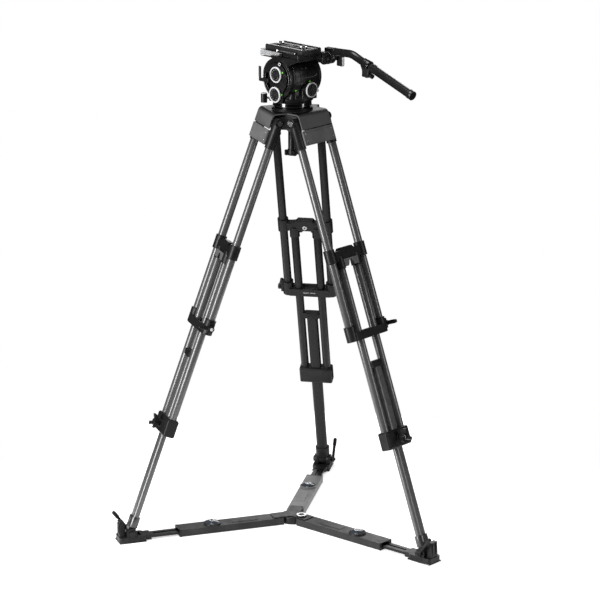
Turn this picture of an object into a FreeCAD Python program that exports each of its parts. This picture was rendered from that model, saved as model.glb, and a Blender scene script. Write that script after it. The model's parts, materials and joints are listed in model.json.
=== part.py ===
import FreeCAD, Part
import math
import os
from FreeCAD import Vector

# Broadcast fluid head on a two-stage twin-tube tripod with a floor spreader.
# Millimetres, +Z up. The origin is on the pan axis at floor level. An azimuth is
# measured from -Y towards +X, so a leg or arm drawn along -Y is turned to its place.

# Legs: "along" values are distances down the leg from the crown hinge.
LEG_AZIMUTH = {"a": -71.0, "b": 49.0, "c": 169.0}
LEG_TILT = 20.0
HINGE_R = 64.0
HINGE_Z = 1202.0
TUBE_R = 11.75
TUBE_WALL = 2.0
UPPER_X = 65.0
MIDDLE_X = 33.1
SLIDE_GAP = 0.3
PIN_R = 5.0
PIN_GAP = 0.08

UPPER_START = 22.0
CARRIAGE_TOP = 365.5
CARRIAGE_HEIGHT = 37.5
MIDDLE_START = 392.0
FRAME_TOP = 584.7
FRAME_BOTTOM = 628.0
FRAME_BAR_TOP = 604.0
GUIDE_TOP = 695.6
GUIDE_HEIGHT = 17.0
BLOCK_TOP = 895.2
BLOCK_BOTTOM = 946.8
FITTING_TOP = 1202.6
ANKLE_ALONG = 1250.0
LOWER_WIDTH = 33.0
LOWER_DEPTH = 19.0

# Foot and spreader, measured from the pan axis.
TILT_SIN = math.sin(math.radians(LEG_TILT))
TILT_COS = math.cos(math.radians(LEG_TILT))
ANKLE_R = HINGE_R + ANKLE_ALONG * TILT_SIN
ANKLE_Z = HINGE_Z - ANKLE_ALONG * TILT_COS
FOOT_OUT = 528.0
FOOT_IN = 432.0
FOOT_HALF = 26.0
RAIL_IN = 130.0
RAIL_HALF = 16.0
RAIL_LOW = 7.0
RAIL_HIGH = 15.0
SLEEVE_HALF = 24.5
SLEEVE_IN = 34.0
SLEEVE_OUT = 349.0
SLEEVE_LOW = 1.5
SLEEVE_HIGH = 22.0
LOCK_R = 245.0

# Crown and bowl.
CROWN_TOP = 1226.0
CROWN_HALF = 62.0
BOWL_R = 50.0
BOWL_Z = 1238.0
KNOB_TOP = 1110.0
KNOB_LOW = 1092.0

# Crown skirts and name plates, in the leg frame: distance outward, and along the leg.
SKIRT_OUT = 20.5
SKIRT_WALL = 3.5
SKIRT_TURN_R = 15.0
SKIRT_END = 24.0
PLATE_START = 27.5
PLATE_END = 69.0
SOCKET_END = 75.0

# Head: +X is the operator's right, +Y the front, turned by HEAD_YAW.
HEAD_YAW = 43.0
PAN_Z = 1250.0
TILT_Z = 1318.0
DRUM_R = 58.0
DRUM_HALF = 47.0
CHEEK_OUT = 58.5
FACE_IN = 59.6
FACE_OUT = 62.5
SHAFT_R = 8.0
DECK_LOW = 1372.0
DECK_TOP = 1391.0
DECK_HALF = 50.0
DECK_LENGTH = 78.0
PLATE_TOP = 1402.0
PLATE_HALF = 38.0
SCREW_R = 4.76
SCREW_TOP = 1410.0
DRAG_KNOB_R = 21.5
BOSS_X = 9.0
BOSS_DROP = 31.0
BOSS_R = 20.0
ROSETTE_Y = -72.0
ROSETTE_Z = 1370.0
ROSETTE_R = 17.0
BAR_X = 78.5
BAR_R = 11.5
BAR_DROP = 19.3

X = Vector(1, 0, 0)
Y = Vector(0, 1, 0)
Z = Vector(0, 0, 1)
ORIGIN = Vector(0, 0, 0)


def box(x0, x1, y0, y1, z0, z1):
    return Part.makeBox(x1 - x0, y1 - y0, z1 - z0, Vector(x0, y0, z0))


def soft_box(x0, x1, y0, y1, z0, z1, radius):
    """A box with every edge rounded."""
    solid = box(x0, x1, y0, y1, z0, z1)
    return solid.makeFillet(radius, solid.Edges)


def upright_box(x0, x1, y0, y1, z0, z1, radius):
    """A box with its four vertical edges rounded."""
    solid = box(x0, x1, y0, y1, z0, z1)
    upright = [e for e in solid.Edges if abs(e.Vertexes[0].Z - e.Vertexes[-1].Z) > 0.1]
    return solid.makeFillet(radius, upright)


def rod_x(x0, x1, y, z, radius):
    return Part.makeCylinder(radius, x1 - x0, Vector(x0, y, z), X)


def rod_y(y0, y1, x, z, radius):
    return Part.makeCylinder(radius, y1 - y0, Vector(x, y0, z), Y)


def rod_z(z0, z1, x, y, radius):
    return Part.makeCylinder(radius, z1 - z0, Vector(x, y, z0), Z)


def soft_rod(rod, radius):
    """A cylinder with both rims rounded."""
    return rod.makeFillet(radius, [e for e in rod.Edges if e.Closed])


def join(solids):
    whole = solids[0].multiFuse(solids[1:])
    return whole.removeSplitter()


def extrude_x(points, half):
    """A closed outline of (y, z) points, extruded to both sides along X."""
    corners = [Vector(-half, y, z) for y, z in points]
    face = Part.Face(Part.makePolygon(corners + [corners[0]]))
    return face.extrude(Vector(2 * half, 0, 0))


def revolve(points, centre, axis, side):
    """A closed outline of (radius, height) points, turned about an axis."""
    corners = [centre + side * r + axis * h for r, h in points]
    face = Part.Face(Part.makePolygon(corners + [corners[0]]))
    return face.revolve(centre, axis, 360)


def stadium(width, depth, z0, z1):
    """An upright bar with a flat-sided, round-ended section."""
    straight = (width - depth) / 2
    ends = [rod_z(z0, z1, side * straight, 0, depth / 2) for side in (-1, 1)]
    return join([box(-straight, straight, -depth / 2, depth / 2, z0, z1)] + ends)


def knob(radius, depth, lobes, axis_start, axis):
    """A round grip with finger hollows, drawn along Z and then turned to its axis."""
    body = soft_rod(rod_z(0, depth, 0, 0, radius), 1.5)
    for i in range(lobes):
        turn = 2 * math.pi * i / lobes
        reach = radius + 2.4
        body = body.cut(rod_z(-1, depth + 1, reach * math.cos(turn), reach * math.sin(turn), 4.0))
    return aim(body, axis_start, axis)


def aim(shape, start, axis):
    """Moves a shape drawn along Z from the origin so that it runs from start along axis."""
    shape.Placement = FreeCAD.Placement(start, FreeCAD.Rotation(Z, axis)).multiply(shape.Placement)
    return shape


def write(name, shapes):
    """Writes one node: its pieces stay separate solids."""
    solids = [s for shape in shapes for s in shape.Solids]
    whole = solids[0] if len(solids) == 1 else Part.makeCompound(solids)
    whole.exportStep("parts/" + name + ".step")


def on_leg(shape, leg):
    """From the upright leg frame (hinge at the origin, outward -Y) to the standing leg."""
    placed = shape.copy()
    placed.rotate(ORIGIN, X, -LEG_TILT)
    placed.translate(Vector(0, -HINGE_R, HINGE_Z))
    placed.rotate(ORIGIN, Z, LEG_AZIMUTH[leg])
    return placed


def on_arm(shape, leg):
    placed = shape.copy()
    placed.rotate(ORIGIN, Z, LEG_AZIMUTH[leg])
    return placed


def on_head(shape):
    placed = shape.copy()
    placed.rotate(ORIGIN, Z, HEAD_YAW)
    return placed


# ---- leg pieces, in the upright leg frame: X across the leg, -Y outward, Z = -along ----

def twin_tubes(offset, start, end):
    tubes = []
    for side in (-1, 1):
        outer = rod_z(-end, -start, side * offset, 0, TUBE_R)
        bore = rod_z(-end - 1, -start + 1, side * offset, 0, TUBE_R - TUBE_WALL)
        tubes.append(outer.cut(bore))
    return tubes


def leg_yoke():
    """Two hinge knuckles with tube sockets, bridged by the outer name plate."""
    bottom = SOCKET_END
    pieces = [upright_box(-63.5, 63.5, -SKIRT_OUT, -16.0, -PLATE_END, -PLATE_START, 1.5)]
    pieces.append(box(-53, 53, -16.2, -11.5, -PLATE_END, -PLATE_END + 9))
    for side in (-1, 1):
        centre = side * UPPER_X
        near, far = sorted((side * 52.5, side * 79.5))
        pieces.append(soft_rod(rod_x(near, far, 0, 0, 13), 1.5))
        pieces.append(rod_z(-bottom, 0, centre, 0, 14.5))
        inner, outer = sorted((side * 52.5, side * 63.5))
        pieces.append(box(inner, outer, -16.2, 0, -PLATE_END, -PLATE_START))
    yoke = join(pieces)
    for side in (-1, 1):
        yoke = yoke.cut(rod_z(-bottom - 1, -UPPER_START, side * UPPER_X, 0, TUBE_R))
    yoke = yoke.cut(rod_x(-52.2, 52.2, 0, 0, 13.2))
    return yoke.cut(rod_x(-90, 90, 0, 0, PIN_R + PIN_GAP))


def carriage():
    """Top of the middle stage: slides on the upper tubes and holds the middle ones."""
    top = -CARRIAGE_TOP
    bottom = top - CARRIAGE_HEIGHT
    pieces = [soft_box(-66, 66, -10, 10, bottom + 2, top - 8, 2)]
    pieces.append(soft_box(-24, 24, -9, 9, bottom + 10, top, 4))
    for side in (-1, 1):
        pieces.append(soft_rod(rod_z(bottom, top, side * UPPER_X, 0, 15.8), 1.5))
        pieces.append(soft_rod(rod_z(bottom - 20, bottom + 14, side * MIDDLE_X, 0, 14.5), 1.5))
    pieces.append(soft_rod(rod_y(8, 12.5, 0, bottom + 16, 7), 1.0))
    body = join(pieces)
    for side in (-1, 1):
        body = body.cut(rod_z(bottom - 1, top + 1, side * UPPER_X, 0, TUBE_R + SLIDE_GAP))
        body = body.cut(rod_z(bottom - 21, -MIDDLE_START, side * MIDDLE_X, 0, TUBE_R))
    return body


def clamp_frame():
    """Foot of the upper tubes: two sockets and a slotted bar that the middle stage runs through."""
    pieces = [upright_box(-66, 66, -17, 17, -FRAME_BOTTOM, -FRAME_BAR_TOP, 8)]
    for side in (-1, 1):
        pieces.append(soft_rod(rod_z(-FRAME_BOTTOM, -FRAME_TOP, side * UPPER_X, 0, 16), 1.5))
    pieces.append(soft_box(78, 86, -9, 9, -FRAME_BOTTOM + 8, -FRAME_TOP - 6, 2))
    body = join(pieces)
    slot = join([
        rod_z(-FRAME_BOTTOM - 1, -FRAME_BAR_TOP + 1, -MIDDLE_X, 0, TUBE_R + SLIDE_GAP),
        rod_z(-FRAME_BOTTOM - 1, -FRAME_BAR_TOP + 1, MIDDLE_X, 0, TUBE_R + SLIDE_GAP),
        box(-MIDDLE_X, MIDDLE_X, -11, 11, -FRAME_BOTTOM - 1, -FRAME_BAR_TOP + 1),
    ])
    body = body.cut(slot)
    for side in (-1, 1):
        body = body.cut(rod_z(-FRAME_BOTTOM + 5, -FRAME_TOP + 1, side * UPPER_X, 0, TUBE_R))
    return body


def clamp_lever():
    """Quick lever on the end of the clamp frame."""
    mid = -(FRAME_TOP + FRAME_BOTTOM) / 2
    hub = soft_rod(rod_x(86.3, 95, 0, mid, 8.5), 1.5)
    arm = soft_box(87.5, 94, -34, 2, mid - 6, mid + 6, 2.5)
    return join([hub, arm])


def clamp_block():
    """Foot of the middle tubes: grips the lower tube."""
    body = soft_box(-49, 49, -17, 17, -BLOCK_BOTTOM, -BLOCK_TOP, 5)
    boss = rod_y(-22, -10, 0, -(BLOCK_TOP + BLOCK_BOTTOM) / 2, 11)
    body = join([body, boss])
    for side in (-1, 1):
        body = body.cut(rod_z(-BLOCK_BOTTOM + 6, -BLOCK_TOP + 1, side * MIDDLE_X, 0, TUBE_R))
    gap = 2 * SLIDE_GAP
    hole = stadium(LOWER_WIDTH + gap, LOWER_DEPTH + gap, -BLOCK_BOTTOM - 1, -BLOCK_TOP + 1)
    return body.cut(hole)


def wing_knob():
    """Three-winged clamp knob on the outer face of the clamp block."""
    mid = -(BLOCK_TOP + BLOCK_BOTTOM) / 2
    outline = [(5, 0), (7, 4), (20, 12), (23, 20), (21, 24), (8, 18), (0, 17), (0, 0)]
    wings = []
    for i in range(3):
        corners = [Vector(r, -4.5, h) for r, h in outline]
        face = Part.Face(Part.makePolygon(corners + [corners[0]]))
        wing = face.extrude(Vector(0, 9, 0))
        wing.rotate(ORIGIN, Z, 90 + 120 * i)
        wings.append(wing)
    body = join([soft_rod(rod_z(0, 18, 0, 0, 9), 1.5)] + wings)
    return aim(body, Vector(0, -22.3, mid), Vector(0, -1, 0))


def lower_stage():
    """Lower tube, its top guide and the ankle fitting bonded on its end."""
    tube = stadium(LOWER_WIDTH, LOWER_DEPTH, -FITTING_TOP - 24, -GUIDE_TOP - GUIDE_HEIGHT)
    inner = (LOWER_WIDTH - 2 * TUBE_WALL, LOWER_DEPTH - 2 * TUBE_WALL)
    tube = tube.cut(stadium(*inner, -FITTING_TOP - 25, -GUIDE_TOP - GUIDE_HEIGHT + 1))
    guide = soft_box(-MIDDLE_X, MIDDLE_X, -9.5, 9.5, -GUIDE_TOP - GUIDE_HEIGHT, -GUIDE_TOP, 1.5)
    for side in (-1, 1):
        run = rod_z(-GUIDE_TOP - 30, -GUIDE_TOP + 10, side * MIDDLE_X, 0, TUBE_R + SLIDE_GAP)
        guide = guide.cut(run)
    socket = stadium(LOWER_WIDTH + 8, LOWER_DEPTH + 8, -FITTING_TOP - 30, -FITTING_TOP)
    lug = box(-11.5, 11.5, -11, 11, -ANKLE_ALONG, -FITTING_TOP - 28)
    knuckle = rod_x(-11.5, 11.5, 0, -ANKLE_ALONG, 13)
    fitting = join([socket, lug, knuckle])
    fitting = fitting.cut(stadium(LOWER_WIDTH, LOWER_DEPTH, -FITTING_TOP - 24, -FITTING_TOP + 1))
    fitting = fitting.cut(rod_x(-20, 20, 0, -ANKLE_ALONG, 4 + PIN_GAP))
    return [tube, guide, fitting]


# ---- foot and spreader pieces, drawn along -Y from the pan axis ----

def foot_block():
    """Floor foot with a clevis for the ankle, an outer post, and the ankle pin."""
    base = upright_box(-FOOT_HALF, FOOT_HALF, -FOOT_OUT, -450, 0, 18, 9)
    neck = upright_box(-19, 19, -455, -FOOT_IN, 3, 18, 3)
    post = extrude_x([(-508, 14), (-526, 14), (-523, 60), (-513, 60)], 14)
    pieces = [base, neck, post]
    for side in (-1, 1):
        inner, outer = sorted((side * 12.2, side * 24.5))
        pieces.append(box(inner, outer, -ANKLE_R - 15, -ANKLE_R + 15, 12, ANKLE_Z))
        pieces.append(rod_x(inner, outer, -ANKLE_R, ANKLE_Z, 15))
    body = join(pieces)
    body = body.cut(box(-12.2, 12.2, -ANKLE_R - 15, -ANKLE_R + 30, 12, 60))
    body = body.cut(rod_x(-40, 40, -ANKLE_R, ANKLE_Z, 4))
    pin = rod_x(-38, 27, -ANKLE_R, ANKLE_Z, 4)
    head = soft_rod(rod_x(24.5, 29.5, -ANKLE_R, ANKLE_Z, 9), 1)
    return [body, join([pin, head])]


def foot_lever():
    """Rod lever on the ankle pin."""
    plane = -30.5
    reach = Vector(0, -38.5, 50.6)
    hub = rod_x(plane - 4.5, plane + 5, -ANKLE_R, ANKLE_Z, 8.8)
    start = Vector(plane, -ANKLE_R, ANKLE_Z) + reach * 0.12
    rod = Part.makeCylinder(4.2, reach.Length * 0.88, start, reach)
    grip = Part.makeCylinder(5.6, reach.Length * 0.3, start + reach * 0.58, reach)
    tip = Part.makeSphere(5.6, start + reach * 0.88)
    body = join([hub, rod, grip, tip])
    return body.cut(rod_x(-60, 0, -ANKLE_R, ANKLE_Z, 4 + PIN_GAP))


def spreader_rail():
    rail = box(-RAIL_HALF, RAIL_HALF, -FOOT_IN, -RAIL_IN, RAIL_LOW, RAIL_HIGH)
    groove = upright_box(-4, 4, -425, -200, RAIL_HIGH - 3, RAIL_HIGH + 1, 3.9)
    return rail.cut(groove)


def spreader_sleeve():
    """Flat tube that a rail slides in, with a raised collar for its lock button."""
    body = upright_box(-SLEEVE_HALF, SLEEVE_HALF, -SLEEVE_OUT, -SLEEVE_IN, SLEEVE_LOW, SLEEVE_HIGH, 2)
    collar = rod_z(SLEEVE_HIGH - 1, 26, 0, -LOCK_R, 24.4)
    body = join([body, collar])
    hollow = box(-16.5, 16.5, -SLEEVE_OUT - 1, -SLEEVE_IN - 6, RAIL_LOW - 3.5, RAIL_HIGH + 3.5)
    body = body.cut(hollow)
    body = body.cut(rod_z(SLEEVE_HIGH, 30, 0, -LOCK_R, 21.4))
    return body.cut(rod_z(10, 30, 0, -LOCK_R, 8.3))


def lock_button():
    """Domed button with a stem through the sleeve's top wall."""
    dome = Part.makeSphere(36, Vector(0, -LOCK_R, -3.0))
    dome = dome.common(rod_z(25.2, 40, 0, -LOCK_R, 21.0))
    return join([dome, rod_z(19, 26, 0, -LOCK_R, 8)])


def spreader_hub():
    """Centre block with a leaf over each sleeve, a release button and a rubber pad."""
    core = rod_z(SLEEVE_LOW, SLEEVE_HIGH, 0, 0, SLEEVE_IN)
    leaf = upright_box(-20, 20, -64, 0, SLEEVE_HIGH, SLEEVE_HIGH + 2.5, 5)
    block = join([core] + [on_arm(leaf, leg) for leg in LEG_AZIMUTH])
    for leg in LEG_AZIMUTH:
        block = block.cut(on_arm(box(-30, 30, -80, -SLEEVE_IN, 0, SLEEVE_HIGH), leg))
    top = SLEEVE_HIGH + 2.5
    button = on_arm(soft_rod(rod_z(top, top + 3, 0, -34, 14.5), 0.8), "b")
    pad = rod_z(0, SLEEVE_LOW, 0, 0, 24)
    return [block, button, pad]


# ---- crown and bowl ----

def crown_lobe():
    """One leg's cover: a flat top that rolls over into a skirt as steep as the leg."""
    def point(radius, height):
        return Vector(-CROWN_HALF, -radius, height)
    def beside_leg(along, out):
        radius = HINGE_R + along * TILT_SIN + out * TILT_COS
        return point(radius, HINGE_Z - along * TILT_COS + out * TILT_SIN)
    turn_z = CROWN_TOP - SKIRT_TURN_R
    turn_out = SKIRT_OUT - SKIRT_TURN_R
    turn_along = (HINGE_Z + turn_out * TILT_SIN - turn_z) / TILT_COS
    turn_r = HINGE_R + turn_along * TILT_SIN + turn_out * TILT_COS
    half_turn = math.radians((90 - LEG_TILT) / 2)
    def side(radius):
        start = point(turn_r, turn_z + radius)
        middle = point(turn_r + radius * math.sin(half_turn), turn_z + radius * math.cos(half_turn))
        end = beside_leg(turn_along, turn_out + radius)
        skirt_end = beside_leg(SKIRT_END, turn_out + radius)
        return start, middle, end, skirt_end
    start, middle, end, skirt_end = side(SKIRT_TURN_R)
    in_start, in_middle, in_end, in_skirt_end = side(SKIRT_TURN_R - SKIRT_WALL)
    edges = [
        Part.LineSegment(point(0, CROWN_TOP), start),
        Part.Arc(start, middle, end),
        Part.LineSegment(end, skirt_end),
        Part.LineSegment(skirt_end, in_skirt_end),
        Part.LineSegment(in_skirt_end, in_end),
        Part.Arc(in_end, in_middle, in_start),
        Part.LineSegment(in_start, point(0, CROWN_TOP - SKIRT_WALL)),
        Part.LineSegment(point(0, CROWN_TOP - SKIRT_WALL), point(0, CROWN_TOP)),
    ]
    face = Part.Face(Part.Wire([e.toShape() for e in edges]))
    cover = face.extrude(Vector(2 * CROWN_HALF, 0, 0))
    hinge = rod_x(-51.5, 51.5, -HINGE_R, HINGE_Z, 12)
    web = box(-46, 46, -HINGE_R, -30, HINGE_Z - 12, HINGE_Z + 12)
    return join([cover, hinge, web])


def crown_casting():
    core = rod_z(1180, CROWN_TOP, 0, 0, 60)
    rim = rod_z(CROWN_TOP - 1, CROWN_TOP + 7, 0, 0, 58)
    body = join([core, rim] + [on_arm(crown_lobe(), leg) for leg in LEG_AZIMUTH])
    body = body.cut(Part.makeSphere(BOWL_R, Vector(0, 0, BOWL_Z)))
    body = body.cut(rod_z(1170, 1200, 0, 0, 27))
    for leg in LEG_AZIMUTH:
        body = body.cut(on_arm(rod_x(-90, 90, -HINGE_R, HINGE_Z, PIN_R), leg))
    return body


def hinge_pin():
    pin = rod_x(-81, 81, -HINGE_R, HINGE_Z, PIN_R)
    heads = [rod_x(-82.4, -79.9, -HINGE_R, HINGE_Z, 7.5), rod_x(79.9, 82.4, -HINGE_R, HINGE_Z, 7.5)]
    return join([pin] + heads)


def half_ball():
    """Levelling ball with its neck ring and the clamp stud."""
    ball = Part.makeSphere(BOWL_R, Vector(0, 0, BOWL_Z)).common(rod_z(1192, BOWL_Z, 0, 0, 60))
    ball = ball.cut(rod_z(1190, 1230, 0, 0, 36))
    floor = rod_z(1192, 1200, 0, 0, 37)
    floor = floor.common(Part.makeSphere(BOWL_R, Vector(0, 0, BOWL_Z)))
    ring = rod_z(CROWN_TOP + 3, BOWL_Z, 0, 0, 49.5)
    collar = soft_rod(rod_z(BOWL_Z, PAN_Z, 0, 0, 54), 1.2)
    ring = ring.common(Part.makeSphere(BOWL_R, Vector(0, 0, BOWL_Z)))
    stud = rod_z(KNOB_LOW + 6, 1200, 0, 0, 5)
    return join([ball, floor, ring, collar, stud])


def bowl_clamp_knob():
    """Handle that pulls the half ball down: cup, sleeve and lobed grip."""
    outline = [(5.3, 1120), (12, 1120), (12, 1160), (20, 1168), (30, 1174), (30, 1179), (5.3, 1179)]
    sleeve = revolve(outline, ORIGIN, Z, X)
    neck = rod_z(KNOB_TOP - 2, 1120, 0, 0, 12)
    grip = soft_rod(rod_z(KNOB_LOW, KNOB_TOP, 0, 0, 14), 2)
    wings = []
    for i in range(4):
        wing = soft_box(8, 22.5, -5, 5, KNOB_LOW + 1, KNOB_TOP - 1, 2.5)
        wing.rotate(ORIGIN, Z, 90 * i + 20)
        wings.append(wing)
    body = join([sleeve, neck, grip] + wings)
    return body.cut(rod_z(KNOB_LOW + 5.5, 1185, 0, 0, 5.3))


# ---- head pieces, before the head's yaw: +X right, +Y front ----

def pan_housing():
    """Turntable and cradle that carry the drum."""
    lip = [(0, 0.4), (54, 0.4), (58.5, 3), (59.5, 7), (59.5, 12), (57, 14), (56, 22), (0, 22)]
    base = revolve(lip, Vector(0, 0, PAN_Z), Z, X)
    cradle = upright_box(-45, 46.5, -48, 48, PAN_Z + 10, TILT_Z - 26, 14)
    panel = soft_box(-14, 40, -59, -40, PAN_Z + 8, TILT_Z - 30, 3)
    body = join([base, cradle, panel])
    body = body.cut(rod_x(-80, 80, 0, TILT_Z, DRUM_R + 0.01))
    body = body.cut(rod_y(-70, -20, BOSS_X, TILT_Z - BOSS_DROP, BOSS_R))
    body = body.cut(box(-64, -40, 26, 66, PAN_Z + 4, PAN_Z + 14.5))
    return body.cut(rod_x(-80, -DRUM_HALF, 0, TILT_Z, DRUM_R + 1))


def drum_housing():
    """Fixed drum with the left control plate and the counterbalance boss."""
    drum = rod_x(-DRUM_HALF, DRUM_HALF, 0, TILT_Z, DRUM_R)
    neck = rod_x(-FACE_IN, -DRUM_HALF + 4, 0, TILT_Z, 34)
    disc = rod_x(-FACE_OUT, -FACE_IN, 0, TILT_Z, 44)
    apron = upright_box(-FACE_OUT, -FACE_IN, -27, 28, PAN_Z + 2.5, TILT_Z, 1)
    recess = box(-FACE_OUT - 1, -FACE_IN + 1, 22, 60, TILT_Z - 60, TILT_Z + 13)
    plate = join([disc, apron]).cut(recess)
    boss = rod_y(-59, -30, BOSS_X, TILT_Z - BOSS_DROP, BOSS_R)
    body = join([drum, neck, plate, boss])
    body = body.cut(rod_x(-DRUM_HALF + 6, DRUM_HALF - 6, 0, TILT_Z, 36))
    return body.cut(rod_x(-44, DRUM_HALF + 1, 0, TILT_Z, SHAFT_R + PIN_GAP))


def tilt_shaft():
    """Shaft through the drum, with its stack of counterbalance disc springs."""
    shaft = rod_x(-43, DRUM_HALF + 0.3, 0, TILT_Z, SHAFT_R)
    flange = rod_x(DRUM_HALF - 12, DRUM_HALF - 6.3, 0, TILT_Z, 22)
    discs = []
    for i in range(8):
        start = -30 + 7.0 * i
        outline = [(8.3, 0), (30, 4), (30, 6), (8.3, 2)]
        discs.append(revolve(outline, Vector(start, 0, TILT_Z), X, Z))
    return [join([shaft, flange])] + discs


def tilt_platform():
    """Deck, saddle over the drum, and the two cheeks that turn on the drum's ends."""
    gap_out = DRUM_HALF + 0.4
    deck = upright_box(-DECK_HALF, DECK_HALF, -DECK_LENGTH, DECK_LENGTH, DECK_LOW, DECK_TOP, 4)
    deck = deck.cut(box(-30, 30, -90, 90, DECK_TOP - 5, DECK_TOP + 1))
    turntable_pocket = box(-29, 29, 42, 72, DECK_LOW - 1, DECK_LOW + 7)
    deck = deck.cut(turntable_pocket)
    shell = rod_x(-DRUM_HALF, DRUM_HALF, 0, TILT_Z, 67)
    rear = [(-60, -44), (60, -18), (60, 28), (-60, 28)]
    outline = [Vector(x, y, TILT_Z + 30) for x, y in rear]
    reach = Part.Face(Part.makePolygon(outline + [outline[0]])).extrude(Z * (DECK_LOW - TILT_Z - 29))
    shell = shell.common(reach)
    ring = rod_x(-CHEEK_OUT, -gap_out, 0, TILT_Z, DRUM_R)
    gusset = extrude_x([(-77, 1376), (-60, 1366), (-36, 1358), (25, 1374), (25, 1380), (-77, 1380)], 5.5)
    gusset.translate(Vector(-gap_out - 5.5, 0, 0))
    right = soft_rod(rod_x(gap_out, CHEEK_OUT, 0, TILT_Z, DRUM_R), 2)
    right_web = box(gap_out, CHEEK_OUT, -36, 30, TILT_Z + 40, DECK_LOW + 1)
    arm = upright_box(DECK_HALF - 12, 62, -84, -52, ROSETTE_Z - 10, DECK_TOP - 2, 4)
    boss = rod_x(DECK_HALF, 66.5, ROSETTE_Y, ROSETTE_Z, ROSETTE_R)
    body = join([deck, shell, ring, gusset, right, right_web, arm, boss])
    body = body.cut(rod_x(-gap_out, gap_out, 0, TILT_Z, DRUM_R + 0.8))
    body = body.cut(rod_x(-64, -40, 0, TILT_Z, 45.8))
    body = body.cut(rod_x(DRUM_HALF, 52, 0, TILT_Z, SHAFT_R))
    body = body.cut(rod_x(DECK_HALF + 4, 70, ROSETTE_Y, ROSETTE_Z, 5))
    return [body, rod_x(gap_out, 52, 0, TILT_Z, SHAFT_R)]


def camera_plate():
    """Sliding plate with its two camera screws."""
    slab = upright_box(-PLATE_HALF, PLATE_HALF, -78, 71, DECK_TOP + 0.3, PLATE_TOP, 3)
    keel = box(-29.6, 29.6, -76, 69, DECK_TOP - 4.7, DECK_TOP + 1)
    body = join([slab, keel])
    for x in (-27, -14, 14, 27):
        body = body.cut(box(x - 2, x + 2, -80, 73, PLATE_TOP - 2, PLATE_TOP + 1))
    body = body.cut(upright_box(-5, 5, -60, 60, DECK_TOP - 6, PLATE_TOP + 1, 4.9))
    screws = []
    for y in (-45, 48):
        shank = rod_z(DECK_TOP - 1, SCREW_TOP, 0, y, SCREW_R)
        collar = rod_z(PLATE_TOP, PLATE_TOP + 1.5, 0, y, 8)
        screws.append(join([shank, collar]))
    return [body] + screws


def plate_lever():
    """Bright lever along the deck's left edge that locks the plate."""
    hub = soft_rod(rod_z(DECK_TOP + 0.3, DECK_TOP + 6, -44, 12, 5), 0.8)
    arm = soft_box(-47, -41.5, -58, 12, DECK_TOP + 1, DECK_TOP + 5, 1)
    return join([hub, arm])


def turned_knob(y, z, x0, depth):
    """Control knob on the left face: skirted grip facing left."""
    grip = knob(DRAG_KNOB_R, depth, 10, Vector(x0, y, z), Vector(-1, 0, 0))
    stem = rod_x(x0 - 1, -FACE_OUT - 0.2, y, z, 3.6)
    return join([grip, stem])


def counterbalance_knob():
    grip = knob(20.5, 10.5, 10, Vector(BOSS_X, -60, TILT_Z - BOSS_DROP), Vector(0, -1, 0))
    crank = rod_y(-74, -70, 22, TILT_Z - 27, 4)
    return join([grip, crank])


def tilt_brake_lever():
    """Curved lever in the control plate's front recess."""
    hub = soft_rod(rod_x(-66, -FACE_IN - 0.2, 34, TILT_Z - 10, 6.5), 1.2)
    arm = soft_box(-65.5, -60, 30, 68, TILT_Z - 15, TILT_Z - 5, 2)
    tip = soft_box(-65, -60.5, 61, 68.5, TILT_Z - 13, TILT_Z + 27, 2)
    return join([hub, arm, tip])


def pan_brake_lever():
    """Paddle lever at the front left of the turntable."""
    grip = soft_rod(rod_z(PAN_Z - 6, PAN_Z + 20, -60.5, 51, 9), 1.5)
    arm = soft_box(-58, -47, 30, 50, PAN_Z + 5, PAN_Z + 9.5, 1.5)
    return join([grip, arm])


def bar_line(distance):
    """Point on the lower, sloping part of the pan bar, measured from its corner."""
    slope = math.radians(BAR_DROP)
    return Vector(BAR_X, -157.0 - distance * math.cos(slope), 1391.4 - distance * math.sin(slope))


def slope_rod(start, end, radius):
    first = bar_line(start)
    return Part.makeCylinder(radius, end - start, first, bar_line(end) - first)


def bar_bend():
    """Rosette head, bent tube and clamp collar of the pan bar."""
    bend = 70.0
    rise = math.radians(1.97)
    reach = bend * math.tan((math.radians(BAR_DROP) + rise) / 2)
    corner = bar_line(0)
    level = Vector(0, math.cos(rise), -math.sin(rise))
    start = corner + level * 96
    first = corner + level * reach
    last = bar_line(reach)
    inward = (level + (last - corner).normalize()).normalize()
    centre = corner + inward * (bend / math.cos((math.radians(BAR_DROP) + rise) / 2))
    middle = centre - inward * bend
    def path(end):
        edges = [Part.LineSegment(start, first), Part.Arc(first, middle, last)]
        edges.append(Part.LineSegment(last, bar_line(end)))
        return Part.Wire([e.toShape() for e in edges])
    def tube(radius):
        ring = Part.Wire([Part.Circle(start, level, radius).toShape()])
        return path(74).makePipeShell([ring], True, False)
    outer = tube(BAR_R)
    rosette = soft_rod(rod_x(67, 84, ROSETTE_Y, ROSETTE_Z, ROSETTE_R), 1.5)
    cheek = soft_box(67.5, 83.5, -96, -57, ROSETTE_Z, ROSETTE_Z + 28, 3)
    collar = slope_rod(52, 76, 14)
    boss = soft_box(BAR_X - 7, BAR_X + 7, -227, -203, 1335, 1366, 2)
    body = join([outer, rosette, cheek, collar, boss])
    bore = slope_rod(24, 90, BAR_R - 2)
    return body.cut(bore).cut(rod_x(60, 90, ROSETTE_Y, ROSETTE_Z, 5.3))


def bar_grip():
    """Telescopic lower tube with its hand grip and end cap."""
    inner = slope_rod(26, 250, BAR_R - 2.3)
    sleeve = slope_rod(84, 240, 12.2)
    cap = slope_rod(240, 252, 13)
    return join([inner, sleeve, cap])


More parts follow.
